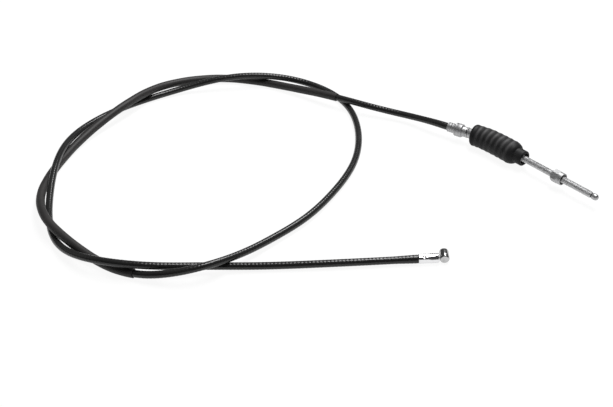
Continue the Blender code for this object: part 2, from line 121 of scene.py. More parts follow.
# %% Least-bending curve
def smooth_curve(points, start_direction, end_direction, per_span=120):
    """The curve of least bending through the points, with its two end directions held."""
    points = np.array(points, float)
    spans = np.linalg.norm(np.diff(points, axis=0), axis=1)
    count = len(points)
    system = np.zeros((count, count))
    wanted = np.zeros((count, 3))
    system[0, 0] = 1
    system[-1, -1] = 1
    wanted[0] = start_direction
    wanted[-1] = end_direction
    for i in range(1, count - 1):
        before, after = spans[i - 1], spans[i]
        system[i, i - 1] = 1 / before
        system[i, i] = 2 / before + 2 / after
        system[i, i + 1] = 1 / after
        wanted[i] = 3 * ((points[i] - points[i - 1]) / before**2 + (points[i + 1] - points[i]) / after**2)
    slopes = np.linalg.solve(system, wanted)
    t = (np.arange(per_span) / per_span)[:, None]
    pieces = []
    for i in range(count - 1):
        pieces.append((2 * t**3 - 3 * t**2 + 1) * points[i]
                      + (t**3 - 2 * t**2 + t) * spans[i] * slopes[i]
                      + (3 * t**2 - 2 * t**3) * points[i + 1]
                      + (t**3 - t**2) * spans[i] * slopes[i + 1])
    pieces.append(points[-1:])
    return np.vstack(pieces)


def distances(path):
    return np.concatenate([[0.0], np.cumsum(np.linalg.norm(np.diff(path, axis=0), axis=1))])


def stations(path, places):
    """The points of a path at the given distances along it."""
    along = distances(path)
    return np.column_stack([np.interp(places, along, path[:, axis]) for axis in range(3)])


free_run = smooth_curve([WHEEL_ORIGIN - wheel_axis * WHEEL_STRAIGHT, *ROUTE,
                         LEVER_ORIGIN - lever_axis * LEVER_STRAIGHT], -wheel_axis, lever_axis)
casing_line = np.vstack([WHEEL_ORIGIN + wheel_axis * WHEEL_SEAT, free_run,
                         LEVER_ORIGIN + lever_axis * LEVER_SEAT])
casing_length = distances(casing_line)[-1]
print(f"casing {casing_length:.3f} m from seat to seat")

# %% [markdown]
# ## Two builders for every surface
# Nearly every piece here is a row of rings: a tube is rings along a path, and a turned fitting
# is rings along its axis. One builder skins any such rows of points with quads, and a second
# one spins an outline into rings. Writing the points directly gives full control over ribs,
# threads and dimples, which a stack of modifiers on a cylinder would not.

# %% Skin rows of rings
def skin(name, rings, finish, ends=True, loop=False, sharp=40.0):
    """One mesh over rows of rings. Its ends are capped, or its last ring joins its first."""
    rings = np.asarray(rings, float)
    count, around = rings.shape[:2]
    rows = np.arange(count if loop else count - 1)[:, None]
    columns = np.arange(around)[None, :]
    after = (columns + 1) % around
    below = (rows + 1) % count
    quads = np.stack([rows * around + columns, rows * around + after,
                      below * around + after, below * around + columns], axis=-1).reshape(-1, 4)
    faces = quads.tolist()
    if ends and not loop:
        faces.append(list(range(around))[::-1])
        faces.append(list(range((count - 1) * around, count * around)))
    mesh = bpy.data.meshes.new(name)
    mesh.from_pydata(rings.reshape(-1, 3).tolist(), [], faces)
    mesh.shade_smooth()
    mesh.set_sharp_from_angle(angle=math.radians(sharp))
    mesh.materials.append(finish)
    piece = bpy.data.objects.new(name, mesh)
    bpy.context.collection.objects.link(piece)
    return piece


def spun(outline, steps):
    """Rings of an outline of (along, radius) points, spun round X from the Y axis towards Z."""
    outline = np.array(outline, float)
    turn = np.linspace(0, 2 * math.pi, steps, endpoint=False)
    along = np.repeat(outline[:, :1], steps, axis=1)
    return np.stack([along, outline[:, 1:] * np.cos(turn), outline[:, 1:] * np.sin(turn)], axis=-1)


# %% [markdown]
# No real edge is a knife edge. A tiny round on each corner of an outline catches a line of
# light, and that line is most of what makes a metal part look solid. The corner is cut by a
# three-point curve before the outline is spun, which costs less than a bevel modifier.

# %% Ease the corners of an outline
def eased(points, size, loop=True, parts=3):
    """The same outline with each of its corners rounded off by about the given size."""
    points = [np.array(point, float) for point in points]
    count = len(points)
    result = []
    for i, corner in enumerate(points):
        if not loop and i in (0, count - 1):
            result.append(corner)
            continue
        back = points[i - 1] - corner
        ahead = points[(i + 1) % count] - corner
        reach = min(size, 0.45 * np.linalg.norm(back), 0.45 * np.linalg.norm(ahead))
        first = corner + back / np.linalg.norm(back) * reach
        last = corner + ahead / np.linalg.norm(ahead) * reach
        for t in np.linspace(0, 1, parts):
            result.append((1 - t)**2 * first + 2 * t * (1 - t) * corner + t**2 * last)
    return result


def place(piece, origin, turn=0.0):
    """Put a piece that was built along X on its own axis in the frame."""
    piece.matrix_world = Matrix.Translation(origin) @ Matrix.Rotation(turn, 4, 'Z')
    return piece


# %% [markdown]
# ## Shared surface effects
# Plastic, rubber and plated steel differ in colour, but they share three things: a fine grain,
# soft smudges from handling, and on turned parts the lines that the tool left. Each effect is
# one node group with its own inputs, so that every material can use it at its own scale and
# strength. A group puts out only a number that changes over the surface.

# %% Node helpers
def new_group(name, inputs, output):
    """An empty shader node group with float or vector inputs and one float output."""
    group = bpy.data.node_groups.new(name, 'ShaderNodeTree')
    for label, kind, value in inputs:
        socket = group.interface.new_socket(label, in_out='INPUT', socket_type=kind)
        if value is not None:
            socket.default_value = value
    group.interface.new_socket(output, in_out='OUTPUT', socket_type='NodeSocketFloat')
    return group, group.nodes.new('NodeGroupInput'), group.nodes.new('NodeGroupOutput')


def add_node(tree, kind, **settings):
    node = tree.nodes.new(kind)
    for key, value in settings.items():
        setattr(node, key, value)
    return node


def math_node(tree, operation, first, second):
    """A Math node whose two inputs are sockets or plain numbers."""
    node = add_node(tree, 'ShaderNodeMath', operation=operation)
    for socket, value in zip(node.inputs, (first, second)):
        if isinstance(value, (int, float)):
            socket.default_value = value
        else:
            tree.links.new(value, socket)
    return node.outputs[0]


# %% [markdown]
# The grain is fine noise, centred on nought so that a material can add it to a roughness or
# feed it to a bump. Smudges are the same noise at a large scale with its middle stretched, so
# that most of the surface stays clean. Turning lines vary only along the part's own axis, so
# they read the X of its object coordinates and ignore the other two.

# %% Grain, smudges and turning lines
VECTOR, FLOAT = 'NodeSocketVector', 'NodeSocketFloat'

grain_group, entry, leave = new_group(
    "Fine Grain", [("Vector", VECTOR, None), ("Scale", FLOAT, 900.0), ("Strength", FLOAT, 1.0)],
    "Value")
noise = add_node(grain_group, 'ShaderNodeTexNoise')
noise.inputs["Detail"].default_value = 3.0
grain_group.links.new(entry.outputs["Vector"], noise.inputs["Vector"])
grain_group.links.new(entry.outputs["Scale"], noise.inputs["Scale"])
centred = math_node(grain_group, 'SUBTRACT', noise.outputs[0], 0.5)
scaled = math_node(grain_group, 'MULTIPLY', centred, entry.outputs["Strength"])
grain_group.links.new(scaled, leave.inputs[0])

smudge_group, entry, leave = new_group(
    "Handling Smudges", [("Vector", VECTOR, None), ("Scale", FLOAT, 60.0), ("Amount", FLOAT, 0.5)],
    "Mask")
noise = add_node(smudge_group, 'ShaderNodeTexNoise')
noise.inputs["Detail"].default_value = 5.0
noise.inputs["Distortion"].default_value = 0.6
smudge_group.links.new(entry.outputs["Vector"], noise.inputs["Vector"])
smudge_group.links.new(entry.outputs["Scale"], noise.inputs["Scale"])
spread = add_node(smudge_group, 'ShaderNodeMapRange', interpolation_type='SMOOTHSTEP')
spread.inputs["From Min"].default_value = 0.45
spread.inputs["From Max"].default_value = 0.75
smudge_group.links.new(noise.outputs[0], spread.inputs["Value"])
scaled = math_node(smudge_group, 'MULTIPLY', spread.outputs[0], entry.outputs["Amount"])
smudge_group.links.new(scaled, leave.inputs[0])

turning_group, entry, leave = new_group(
    "Turning Lines", [("Vector", VECTOR, None), ("Scale", FLOAT, 5000.0), ("Strength", FLOAT, 1.0)],
    "Value")
split = add_node(turning_group, 'ShaderNodeSeparateXYZ')
turning_group.links.new(entry.outputs["Vector"], split.inputs[0])
noise = add_node(turning_group, 'ShaderNodeTexNoise', noise_dimensions='1D')
noise.inputs["Detail"].default_value = 4.0
stretched = math_node(turning_group, 'MULTIPLY', split.outputs["X"], entry.outputs["Scale"])
turning_group.links.new(stretched, noise.inputs["W"])
noise.inputs["Scale"].default_value = 1.0
centred = math_node(turning_group, 'SUBTRACT', noise.outputs[0], 0.5)
scaled = math_node(turning_group, 'MULTIPLY', centred, entry.outputs["Strength"])
turning_group.links.new(scaled, leave.inputs[0])
print("node groups:", [group.name for group in (grain_group, smudge_group, turning_group)])

# %% [markdown]
# ## The finishes
# Each material starts from the same small recipe: a base colour that smudges shift a little, a
# roughness that the grain breaks up, and a bump so fine that it only softens the highlight.
# The recipe is a function, and the values that make one finish differ from the next stay
# visible where the material is made.

# %% Recipe for a finish
def finish(name, colour, worn_colour, roughness, metallic=0.0, grain=(900.0, 0.15), smudge=(60.0, 0.5),
           lines=None, bump=0.00002):
    """A material with smudged colour, grainy roughness and a fine bump. lines adds turning marks."""
    made = bpy.data.materials.new(name)
    made.use_nodes = True
    tree = made.node_tree
    shader = tree.nodes["Principled BSDF"]
    shader.inputs["Metallic"].default_value = metallic
    place_on_part = add_node(tree, 'ShaderNodeTexCoord').outputs["Object"]

    def use(group, scale, strength):
        node = add_node(tree, 'ShaderNodeGroup', node_tree=group)
        tree.links.new(place_on_part, node.inputs["Vector"])
        node.inputs[1].default_value = scale
        node.inputs[2].default_value = strength
        return node.outputs[0]

    smudges = use(smudge_group, *smudge)
    mix = add_node(tree, 'ShaderNodeMix', data_type='RGBA')
    mix.inputs["A"].default_value = (*colour, 1)
    mix.inputs["B"].default_value = (*worn_colour, 1)
    tree.links.new(smudges, mix.inputs["Factor"])
    tree.links.new(mix.outputs["Result"], shader.inputs["Base Color"])

    speckle = use(grain_group, *grain)
    rough = math_node(tree, 'ADD', speckle, roughness)
    rough = math_node(tree, 'ADD', rough, math_node(tree, 'MULTIPLY', smudges, 0.12))
    height = speckle
    if lines:
        marks = use(turning_group, *lines)
        rough = math_node(tree, 'ADD', rough, marks)
        height = math_node(tree, 'ADD', height, marks)
    tree.links.new(rough, shader.inputs["Roughness"])
    relief = add_node(tree, 'ShaderNodeBump')
    relief.inputs["Distance"].default_value = bump
    tree.links.new(height, relief.inputs["Height"])
    tree.links.new(relief.outputs[0], shader.inputs["Normal"])
    return made


jacket_finish = finish("jacket_plastic", (0.033, 0.033, 0.033), (0.042, 0.042, 0.042), 0.22,
                       smudge=(40, 0.7))
sleeve_finish = finish("sleeve_plastic", (0.042, 0.040, 0.040), (0.062, 0.058, 0.057), 0.52,
                       grain=(1400, 0.2), smudge=(25, 0.8))
rubber_finish = finish("boot_rubber", (0.028, 0.028, 0.029), (0.046, 0.045, 0.046), 0.50,
                       grain=(1500, 0.2), smudge=(90, 0.8), bump=0.00004)
zinc_finish = finish("dull_zinc", (0.55, 0.55, 0.555), (0.42, 0.42, 0.425), 0.50, metallic=1.0,
                     grain=(2500, 0.25), smudge=(180, 0.7), lines=(4000.0, 0.15))
thread_finish = finish("thread_zinc", (0.74, 0.74, 0.745), (0.58, 0.58, 0.585), 0.56, metallic=1.0,
                       grain=(2500, 0.25), smudge=(120, 0.8))
chrome_finish = finish("bright_chrome", (0.90, 0.90, 0.91), (0.80, 0.80, 0.81), 0.09, metallic=1.0,
                       grain=(1500, 0.03), smudge=(150, 0.3))
nipple_finish = finish("nipple_steel", (0.62, 0.62, 0.62), (0.42, 0.42, 0.42), 0.20, metallic=1.0,
                       grain=(2500, 0.12), smudge=(250, 0.6))
clip_finish = finish("spring_steel", (0.70, 0.70, 0.70), (0.55, 0.55, 0.55), 0.18, metallic=1.0)
wire_finish = finish("wire_steel", (0.50, 0.49, 0.47), (0.35, 0.34, 0.33), 0.30, metallic=1.0)
spiral_finish = finish("spiral_steel", (0.45, 0.45, 0.45), (0.30, 0.30, 0.30), 0.35, metallic=1.0)
liner_finish = finish("liner_plastic", (0.70, 0.70, 0.67), (0.60, 0.60, 0.57), 0.40)
neck_finish = finish("dark_undercut_band", (0.07, 0.07, 0.07), (0.11, 0.11, 0.11), 0.55)
nylon_finish = finish("locking_nylon", (0.020, 0.021, 0.024), (0.035, 0.036, 0.04), 0.45)
print("finishes:", len(bpy.data.materials))

# %% [markdown]
# The boot's rubber takes one step more. Its ridges get a painted highlight, a paler tone where the lamp
# draws its light bands, and the mesh will carry a number at each point that says how much. A second mix
# lays the pale tone over the first one by that number. Old rubber also shines little, so its mirror
# strength is halved.

# %% Rubber with a painted highlight on its ridges
# Painted highlight: the pale tone laid where the lamp's light bands fall on the ridges and neck.
RUBBER_HIGHLIGHT_TONE = (0.120, 0.117, 0.120)

tree = rubber_finish.node_tree
rubber = tree.nodes["Principled BSDF"]
rubber.inputs["Specular IOR Level"].default_value = 0.25
highlight_mix = add_node(tree, 'ShaderNodeMix', data_type='RGBA')
highlight_mix.inputs["B"].default_value = (*RUBBER_HIGHLIGHT_TONE, 1)
tree.links.new(rubber.inputs["Base Color"].links[0].from_socket, highlight_mix.inputs["A"])
tree.links.new(add_node(tree, 'ShaderNodeAttribute', attribute_name="painted_highlight").outputs["Fac"],
               highlight_mix.inputs["Factor"])
tree.links.new(highlight_mix.outputs["Result"], rubber.inputs["Base Color"])
print("rubber nodes:", len(tree.nodes))

# %% [markdown]
# ## The casing
# Under the plastic jacket a flat steel wire is wound edge to edge. The jacket is drawn over it
# hot and shrinks a little into every turn, so that a fine screw-like rib runs the whole way.
# The rib is real geometry here, seven rings to a turn, because its broken highlight and its
# slightly toothed outline are what tell this casing from a plain hose. Where the guard sleeve
# hides it, the jacket has no rib. The jacket also swells a little before each cap, where the
# crimp has squeezed it back along the wire, and inside the cap's mouth it is narrow again.

# %% Frames along a path
def tube_rings(path, radius, around):
    """Rings across a path, without twist. radius is one number, one a ring, or one a point."""
    tangent = np.gradient(path, axis=0)
    tangent /= np.linalg.norm(tangent, axis=1)[:, None]
    side = np.cross(tangent[0], (0.0, 0.0, 1.0))
    side /= np.linalg.norm(side)
    sides = np.empty_like(path)
    for i, direction in enumerate(tangent):
        side = side - direction * np.dot(side, direction)
        side /= np.linalg.norm(side)
        sides[i] = side
    others = np.cross(tangent, sides)
    turn = np.linspace(0, 2 * math.pi, around, endpoint=False)
    reach = np.broadcast_to(np.asarray(radius, float).reshape(-1, 1) if np.ndim(radius) == 1 else radius,
                            (len(path), around))
    return (path[:, None, :] + sides[:, None, :] * (reach * np.cos(turn))[..., None]
            + others[:, None, :] * (reach * np.sin(turn))[..., None])


# %% Ribbed jacket
JACKET_RADIUS = 0.0031
RIB_PITCH = 0.0030
RIB_DEPTH = 0.00007
RINGS_PER_RIB = 7
JACKET_SIDES = 20
SLEEVE_FROM, SLEEVE_TO = 0.1274, 0.6789
SLEEVE_COVER = 0.006
LEVER_FLARE_LENGTH, LEVER_FLARE = 0.022, 0.00045
WHEEL_FLARE_LENGTH, WHEEL_FLARE = 0.030, 0.00035
AT_MOUTH, MOUTH_REACH = 0.4, 0.0012

places = np.arange(0.0, casing_length, RIB_PITCH / RINGS_PER_RIB)
covered = (places > SLEEVE_FROM + SLEEVE_COVER) & (places < SLEEVE_TO - SLEEVE_COVER)
keep = ~covered | (np.arange(len(places)) % 12 == 0)
places = places[keep]
path = stations(casing_line, places)
turn = np.linspace(0, 2 * math.pi, JACKET_SIDES, endpoint=False)
rib = 0.5 + 0.5 * np.cos(2 * math.pi * places[:, None] / RIB_PITCH - turn)
rib[covered[keep]] = 0.5


def swelling(to_mouth, length, most):
    """How far the jacket swells before a cap: most at the cap's mouth, and little inside it."""
    before_cap = np.clip(1 - to_mouth / length, 0, 1)
    in_cap = np.clip(AT_MOUTH + to_mouth / MOUTH_REACH, 0, 1)
    near = np.minimum(before_cap, in_cap)
    return (most * near**2 * (3 - 2 * near))[:, None]


reach = (JACKET_RADIUS - RIB_DEPTH * (1 - rib)
         + swelling(casing_length - LEVER_SEAT - places, LEVER_FLARE_LENGTH, LEVER_FLARE)
         + swelling(places - WHEEL_SEAT, WHEEL_FLARE_LENGTH, WHEEL_FLARE))
jacket = skin("jacket", tube_rings(path, reach, JACKET_SIDES), jacket_finish)
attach(jacket, "cable")
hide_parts("casing_jacket")
print("jacket faces:", len(jacket.data.polygons))

# %% [markdown]
# Inside the jacket lie the steel spiral, the liner and the wire. Nobody sees them, but the
# frame's own versions are made of long straight steps that would poke through the smooth
# jacket in a bend. Plain tubes on the smooth curve stand for them.

# %% Layers inside the jacket
inner_path = stations(casing_line, np.arange(0.0, casing_length, 0.004))
for name, node, radius, look, body_slot in (
        ("spiral", "casing_spiral", 0.00215, spiral_finish, "spiral_steel"),
        ("liner", "casing_liner", 0.00140, liner_finish, "liner_plastic"),
        ("wire", "inner_wire", 0.00100, wire_finish, "wire_steel")):
    line = inner_path[:-8] if name == "wire" else inner_path
    layer = skin(name, tube_rings(line, radius, 10), look)
    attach(layer, "cable")
    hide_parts(node)

# %% [markdown]
# ## The guard sleeve
# A loose tube of soft plastic is slipped over the casing where it would rub on the frame. It
# is matt, a little browner and paler than the jacket, and cut square at both of its ends.
# It never lies perfectly round, so its radius wanders by a few hundredths of a millimetre.

# %% Guard sleeve
SLEEVE_RADIUS = 0.0038
SLEEVE_BORE = 0.00335
SLEEVE_STEP = 0.0025

places = np.linspace(SLEEVE_FROM, SLEEVE_TO, int((SLEEVE_TO - SLEEVE_FROM) / SLEEVE_STEP))
sleeve_path = stations(casing_line, places)
turn = np.linspace(0, 2 * math.pi, 32, endpoint=False)
wander = 0.00004 * np.sin(places[:, None] * 210 + 2 * turn) + 0.00003 * np.sin(places[:, None] * 97 - turn)
outside = tube_rings(sleeve_path, SLEEVE_RADIUS + wander - 0.00004, 32)
inside = tube_rings(sleeve_path, SLEEVE_BORE + wander * 0, 32)[::-1]
sleeve = skin("sleeve", np.concatenate([outside, inside]), sleeve_finish, loop=True)
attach(sleeve, "cable")
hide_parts("guard_sleeve")

# %% [markdown]
# ## The crimp ferrule and the stop collar
# The casing ends in a thin cap of zinc-plated steel that is rolled onto it in three rings, and
# the cap sits in a heavier turned collar. The collar's spigot runs on into the rubber boot. All
# of them are turned parts, so each one is an outline that is spun.

# %% Crimp ferrule
CRIMP_RADIUS = 0.0045
CRIMP_END = 0.0133
CRIMP_GROOVES, CRIMP_LENGTH = 3, 0.0070
CRIMP_GROOVE_DEPTH, CRIMP_GROOVE_WIDTH = 0.00045, 0.0009
CASING_BORE = 0.0033

outline = [(0.0, CASING_BORE), (0.0, CRIMP_RADIUS)]
for ring in range(CRIMP_GROOVES):
    middle = CRIMP_LENGTH / CRIMP_GROOVES * (ring + 0.5)
    half = CRIMP_GROOVE_WIDTH / 2
    outline += [(middle - half, CRIMP_RADIUS), (middle - half / 2, CRIMP_RADIUS - CRIMP_GROOVE_DEPTH),
                (middle + half / 2, CRIMP_RADIUS - CRIMP_GROOVE_DEPTH), (middle + half, CRIMP_RADIUS)]
outline += [(CRIMP_END, CRIMP_RADIUS), (CRIMP_END, CASING_BORE)]
crimp = skin("crimp", spun(eased(outline, 0.00025), 64), zinc_finish, loop=True)
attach(place(crimp, WHEEL_ORIGIN, WHEEL_ANGLE), "cable")
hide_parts("crimp_ferrule")

# %% Stop collar with its spigot
COLLAR_FROM, COLLAR_TO = 0.0073, 0.0151
COLLAR_RADIUS, COLLAR_FRONT, COLLAR_BACK = 0.00615, 0.00555, 0.0054
TURNED_LINE_RADIUS = 0.00565
COLLAR_BORE, COLLAR_BORE_TO = 0.0048, 0.0136
NECK_RADIUS = 0.0047
SPIGOT_END, SPIGOT_EDGE, WIRE_BORE = 0.0286, 0.0006, 0.00135
CLIP_AT = 0.0198
CLIP_GROOVE, CLIP_GROOVE_DEPTH = 0.0008, 0.00085

outline = [(COLLAR_FROM, COLLAR_BORE), (COLLAR_FROM, COLLAR_FRONT), (COLLAR_FROM + 0.0006, COLLAR_RADIUS),
           (COLLAR_FROM + 0.0017, COLLAR_RADIUS), (COLLAR_FROM + 0.0019, TURNED_LINE_RADIUS),
           (COLLAR_FROM + 0.0023, TURNED_LINE_RADIUS), (COLLAR_FROM + 0.0026, COLLAR_RADIUS),
           (COLLAR_TO - 0.0012, COLLAR_RADIUS), (COLLAR_TO - 0.0001, COLLAR_BACK), (COLLAR_TO, NECK_RADIUS),
           (CLIP_AT - CLIP_GROOVE, NECK_RADIUS), (CLIP_AT - CLIP_GROOVE, NECK_RADIUS - CLIP_GROOVE_DEPTH),
           (CLIP_AT + CLIP_GROOVE, NECK_RADIUS - CLIP_GROOVE_DEPTH), (CLIP_AT + CLIP_GROOVE, NECK_RADIUS),
           (SPIGOT_END - SPIGOT_EDGE, NECK_RADIUS), (SPIGOT_END, NECK_RADIUS - SPIGOT_EDGE),
           (SPIGOT_END, WIRE_BORE), (COLLAR_BORE_TO, WIRE_BORE), (COLLAR_BORE_TO, COLLAR_BORE)]
collar = skin("collar", spun(eased(outline, 0.0003), 72), zinc_finish, loop=True)
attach(place(collar, WHEEL_ORIGIN, WHEEL_ANGLE), "cable")
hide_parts("stop_collar")

# %% [markdown]
# A sprung ring snaps into the groove of the neck and keeps the boot from creeping off. It is
# round wire bent to most of a circle, so its rings run along an arc instead of along the axis.

# %% Clip ring
CLIP_WIRE, CLIP_PLAY = 0.0005, 0.0003
CLIP_OPENING = math.radians(40)
clip_radius = NECK_RADIUS - CLIP_GROOVE_DEPTH + CLIP_PLAY + CLIP_WIRE
turns = np.linspace(0, 2 * math.pi - CLIP_OPENING, 56)
clip_path = np.column_stack([np.full(len(turns), CLIP_AT), clip_radius * np.cos(turns),
                             clip_radius * np.sin(turns)])
clip = skin("clip", tube_rings(clip_path, CLIP_WIRE, 12), clip_finish)
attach(place(clip, WHEEL_ORIGIN, WHEEL_ANGLE), "cable")
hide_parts("clip_ring")

# %% [markdown]
# ## The rubber boot
# The boot keeps dirt off the bare wire and folds up when the brake is pulled. It has a plain
# rounded back, seven low bellows ridges, a sloping shoulder and a thick neck that grips the rod. The
# outline gives the ridges, and then every ring is pushed about a little, because a moulded
# tube this thin is never quite round.

# %% Outline of the boot
BOOT_FROM, BOOT_TO = 0.0248, 0.0843
BOOT_BACK, BOOT_RADIUS = 0.0101, 0.0106
BACK_ROUND = 0.0032
NARROW_TO, NARROW_LENGTH = 0.041, 0.010
FIRST_RIDGE, RIDGE_PITCH, RIDGES = 0.0324, 0.00608, 7
RIDGE_HEIGHT = 0.00030
BOOT_NECK = 0.00705
SHOULDER = [(0.0708, 0.00030), (0.0717, 0.00050), (0.0726, 0.00078), (0.0735, 0.00112),
            (0.0743, 0.00155), (0.0750, 0.00208), (0.0756, 0.00280)]
SHOULDER_TO = 0.0761
BOOT_MOUTH = 0.0050
BOOT_WALL = 0.0014
INSIDE_FROM, INSIDE_TO = 0.0046, 0.0710
SEAL = 0.00325


def boot_outline():
    points = []
    for turn in np.linspace(math.pi, math.pi / 2, 9):
        points.append((BOOT_FROM + BACK_ROUND + BACK_ROUND * math.cos(turn),
                       BOOT_BACK - BACK_ROUND + BACK_ROUND * math.sin(turn)))
    ridges_from = FIRST_RIDGE - 0.4 * RIDGE_PITCH
    ridges_to = FIRST_RIDGE + (RIDGES - 0.7) * RIDGE_PITCH
    for along in np.arange(ridges_from, ridges_to, 0.0005):
        crest = (0.5 + 0.5 * math.cos(2 * math.pi * (along - FIRST_RIDGE) / RIDGE_PITCH))**2
        narrow = (BOOT_RADIUS - BOOT_BACK) * np.clip((NARROW_TO - along) / NARROW_LENGTH, 0, 1)
        points.append((along, BOOT_RADIUS - narrow - RIDGE_HEIGHT * (1 - crest)))
    points += [(along, BOOT_RADIUS - drop) for along, drop in SHOULDER] + [(SHOULDER_TO, BOOT_NECK)]
    points += [(BOOT_TO - 0.0008, BOOT_NECK), (BOOT_TO, BOOT_NECK - 0.0008), (BOOT_TO, BOOT_MOUTH),
               (BOOT_TO - 0.0030, BOOT_MOUTH), (BOOT_TO - 0.0030, SEAL), (BOOT_TO - 0.0070, SEAL),
               (BOOT_TO - 0.0070, BOOT_NECK - BOOT_WALL)]
    inside = BOOT_BACK - BOOT_WALL
    points += [(along, inside) for along in np.linspace(INSIDE_TO, BOOT_FROM + INSIDE_FROM, 16)]
    points += [(BOOT_FROM + BOOT_WALL, 0.0055), (BOOT_FROM + BOOT_WALL, 0.0050), (BOOT_FROM, 0.0050)]
    return eased(points, 0.00025)


# %% [markdown]
# The boot doesn't lie straight. Its back points along the collar and its neck along the rod, so
# its back half takes a bend of seventeen degrees. Every point is moved onto an arc by its
# distance along the straight axis, and the rod then gets an axis of its own where the arc ends.

# %% Bend of the boot, and the rod's axis
BEND = math.radians(17.0)
BEND_LENGTH = 0.0290


def bent(along, side):
    """Where a point beside the straight axis lies once the boot is bent."""
    radius = BEND_LENGTH / BEND
    inside = np.clip(along - BOOT_FROM, 0, BEND_LENGTH)
    turn = inside / radius
    rest = along - BOOT_FROM - inside
    return (BOOT_FROM + (radius + side) * np.sin(turn) + rest * np.cos(turn),
            (radius + side) * np.cos(turn) - radius - rest * np.sin(turn))


bend_end = BOOT_FROM + BEND_LENGTH
ROD_ANGLE = WHEEL_ANGLE - BEND
rod_axis = Vector((math.cos(ROD_ANGLE), math.sin(ROD_ANGLE), 0.0))
along, side = bent(bend_end, 0.0)
wheel_side = Vector((-wheel_axis.y, wheel_axis.x, 0.0))
arc_end = WHEEL_ORIGIN + wheel_axis * float(along) + wheel_side * float(side)
ROD_ORIGIN = arc_end - rod_axis * bend_end
print("rod axis starts at", [round(value, 4) for value in ROD_ORIGIN])

# %% [markdown]
# The side of each ridge that faces the rod, and a band round the neck, get a painted highlight: a paler
# tone where the lamp draws its light bands. How strong that painted highlight is at each point gets stored
# on the mesh while its place along the straight axis is still known, because the material can't tell that
# place once the boot is bent.

# %% Boot between the casing and the rod
HIGHLIGHTS_FROM, HIGHLIGHTS_TO, HIGHLIGHT_SHIFT = 0.0300, 0.0715, 0.0006
NECK_HIGHLIGHT, NECK_HIGHLIGHT_HALF = 0.0798, 0.0025
WOBBLE_FROM, WOBBLE_TO, WOBBLE_FADE = 0.031, 0.079, 0.008
rings = spun(boot_outline(), 96)
along, angle = rings[..., 0], np.arctan2(rings[..., 2], rings[..., 1])
size = np.hypot(rings[..., 1], rings[..., 2])
middle = (np.clip((along - WOBBLE_FROM) / WOBBLE_FADE, 0, 1)
          * np.clip((WOBBLE_TO - along) / WOBBLE_FADE, 0, 1))
outer = size > BOOT_BACK - 0.0008
wobble = 0.00010 * np.sin(2 * angle + 90 * along) + 0.00006 * np.sin(5 * angle - 260 * along)
size = size + middle * wobble * outer
# Painted highlight: paler on the rod side of each ridge and in a band on the neck, where the lamp's light
# bands fall.
ridge_highlights = (0.5 + 0.5 * np.cos(2 * math.pi * (along - FIRST_RIDGE - HIGHLIGHT_SHIFT) / RIDGE_PITCH))**2
ridge_highlights *= (along > HIGHLIGHTS_FROM) & (along < HIGHLIGHTS_TO) & (size > BOOT_BACK - 0.0008)
neck_highlight_band = np.clip(1 - np.abs(along - NECK_HIGHLIGHT) / NECK_HIGHLIGHT_HALF, 0, 1)
painted_highlight = np.maximum(ridge_highlights, neck_highlight_band * (size > BOOT_NECK - 0.0005))
side, height = size * np.cos(angle), size * np.sin(angle)
rings[..., 0], rings[..., 1] = bent(along, side)
rings[..., 2] = height
boot = skin("bellows", rings, rubber_finish, loop=True, sharp=50)
boot.data.attributes.new("painted_highlight", 'FLOAT', 'POINT').data.foreach_set("value", painted_highlight.ravel())
place(boot, WHEEL_ORIGIN, WHEEL_ANGLE)
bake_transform(boot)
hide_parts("boot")
print("boot faces:", len(boot.data.polygons))

# %% [markdown]
# ## The threaded rod
# The rod carries an M6 thread as far as a plain point. Rings square to the axis would cut
# through the thread and leave steps on every crest, so this skin is sheared: each column of
# points starts a little further along than the one before, and after one turn the last column
# meets the first one pitch on. The crest then runs along the mesh's own edges.

# %% Screw thread
ROD_RADIUS = 0.00295
THREAD_PITCH = 0.0010
THREAD_DEPTH = 0.00058
THREAD_ROWS = 6
THREAD_SIDES = 28


def screw_thread(name, start, end, look):
    """A right-hand thread from start to end along X, run out to its core at both ends."""
    turns = int((end - start) / THREAD_PITCH) + 3
    rows, columns = np.meshgrid(np.arange(turns * THREAD_ROWS + 1), np.arange(THREAD_SIDES),
                                indexing="ij")
    along = start + THREAD_PITCH * (rows / THREAD_ROWS + columns / THREAD_SIDES - 1)
    run_out = np.clip(np.minimum(along - start, end - along) / (1.2 * THREAD_PITCH), 0, 1)
    height = np.array([0.0, 0.0, 0.5, 1.0, 1.0, 0.5])[rows % THREAD_ROWS]
    radius = ROD_RADIUS - THREAD_DEPTH + THREAD_DEPTH * height * run_out
    turn = 2 * math.pi * columns / THREAD_SIDES
    verts = np.stack([np.clip(along, start, end), radius * np.cos(turn), radius * np.sin(turn)], axis=-1)
    row, column = rows[:-1].ravel(), columns[:-1].ravel()
    wraps = column == THREAD_SIDES - 1
    next_row = row + np.where(wraps, THREAD_ROWS, 0)
    next_column = np.where(wraps, 0, column + 1)
    quads = np.stack([row * THREAD_SIDES + column, next_row * THREAD_SIDES + next_column,
                      (next_row + 1) * THREAD_SIDES + next_column,
                      (row + 1) * THREAD_SIDES + column], axis=-1)
    quads = quads[next_row + 1 < len(rows)]
    bm = bmesh.new()
    points = [bm.verts.new(vert) for vert in verts.reshape(-1, 3)]
    for quad in quads.tolist():
        bm.faces.new([points[i] for i in quad])
    bmesh.ops.remove_doubles(bm, verts=bm.verts, dist=1e-7)
    bmesh.ops.dissolve_degenerate(bm, edges=bm.edges, dist=1e-7)
    bmesh.ops.delete(bm, geom=[vert for vert in bm.verts if not vert.link_faces], context='VERTS')
    bmesh.ops.holes_fill(bm, edges=[edge for edge in bm.edges if edge.is_boundary])
    mesh = bpy.data.meshes.new(name)
    bm.to_mesh(mesh)
    bm.free()
    mesh.shade_smooth()
    mesh.set_sharp_from_angle(angle=math.radians(50))
    mesh.materials.append(look)
    piece = bpy.data.objects.new(name, mesh)
    bpy.context.collection.objects.link(piece)
    return piece
